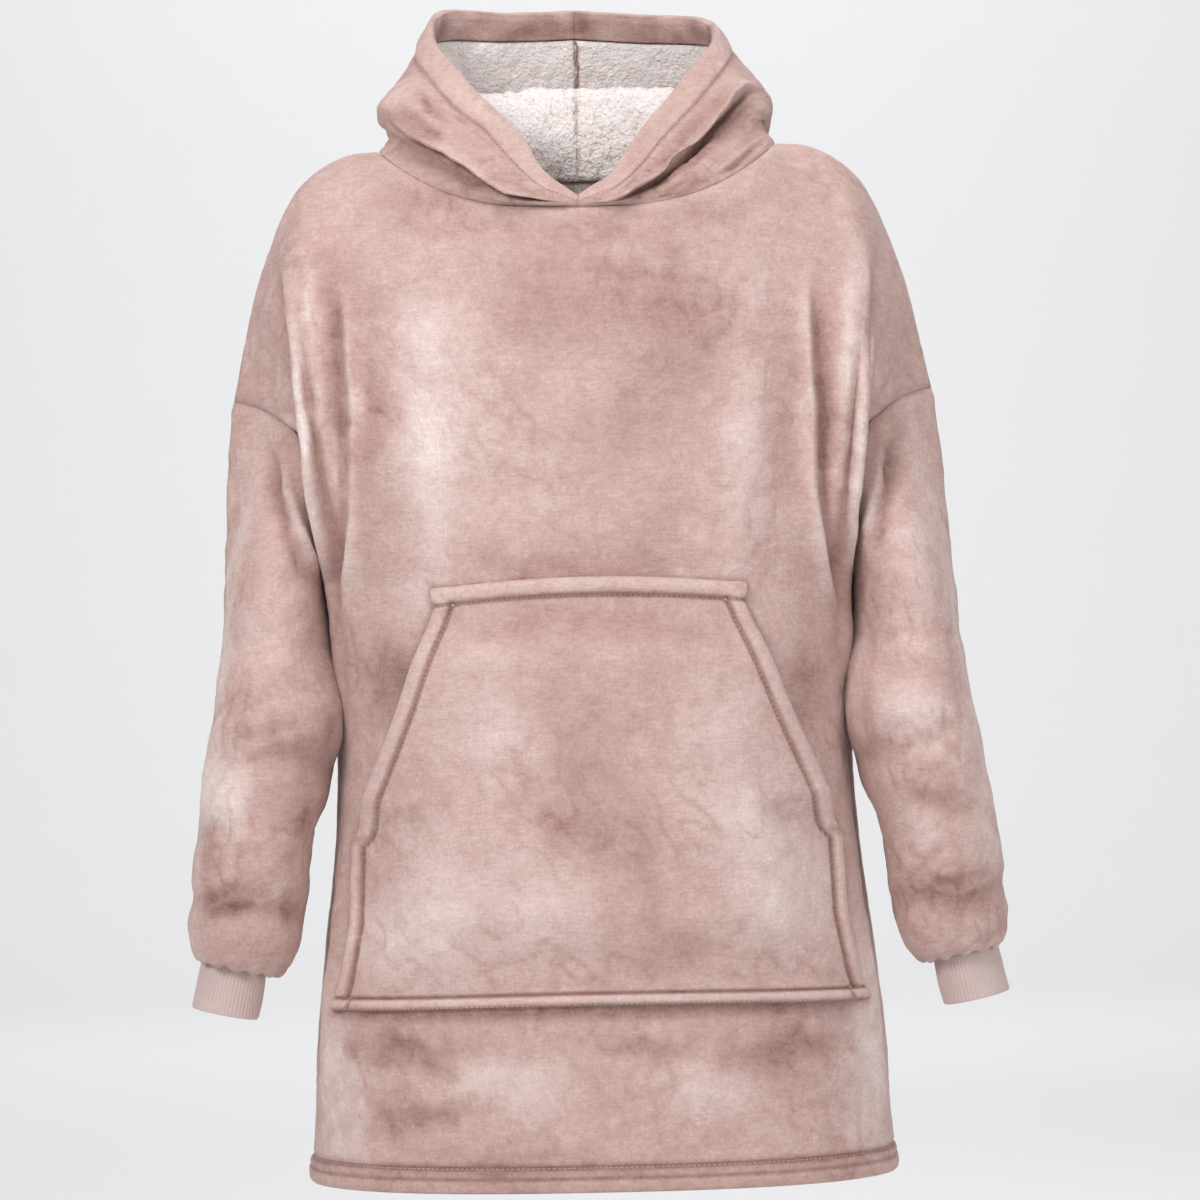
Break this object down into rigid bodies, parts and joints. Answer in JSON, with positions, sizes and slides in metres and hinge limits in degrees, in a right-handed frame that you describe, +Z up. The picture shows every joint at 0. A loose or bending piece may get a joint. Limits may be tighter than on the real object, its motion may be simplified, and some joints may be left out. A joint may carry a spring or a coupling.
{
  "type": "wearable blanket hoodie",
  "caption": "Oversized fleece hoodie with a wide lined hood, dropped sleeves gathered into knitted cuffs and a large front pouch pocket, held filled out as if worn.",
  "frame": {"origin": "between the shoulders, level with the neck points, where the wearer's shoulders carry the garment", "axes": "+Z up, the front faces -Y, +X to the right as seen from the front"},
  "size_m": [0.7128, 0.3795, 1.0358],
  "materials": {
    "fleece": "brushed dusty rose flannel fleece",
    "sherpa": "off-white curly sherpa",
    "knit": "smooth pale pink rib knit"
  },
  "bodies": {
    "root": {"front_panel": "fleece", "back_panel": "fleece", "pocket": "fleece", "sleeve_left": "fleece", "sleeve_right": "fleece", "cuff_left": "knit", "cuff_right": "knit", "hood_left": "fleece", "hood_right": "fleece", "hood_lining_left": "sherpa", "hood_lining_right": "sherpa"}
  },
  "joints": []
}
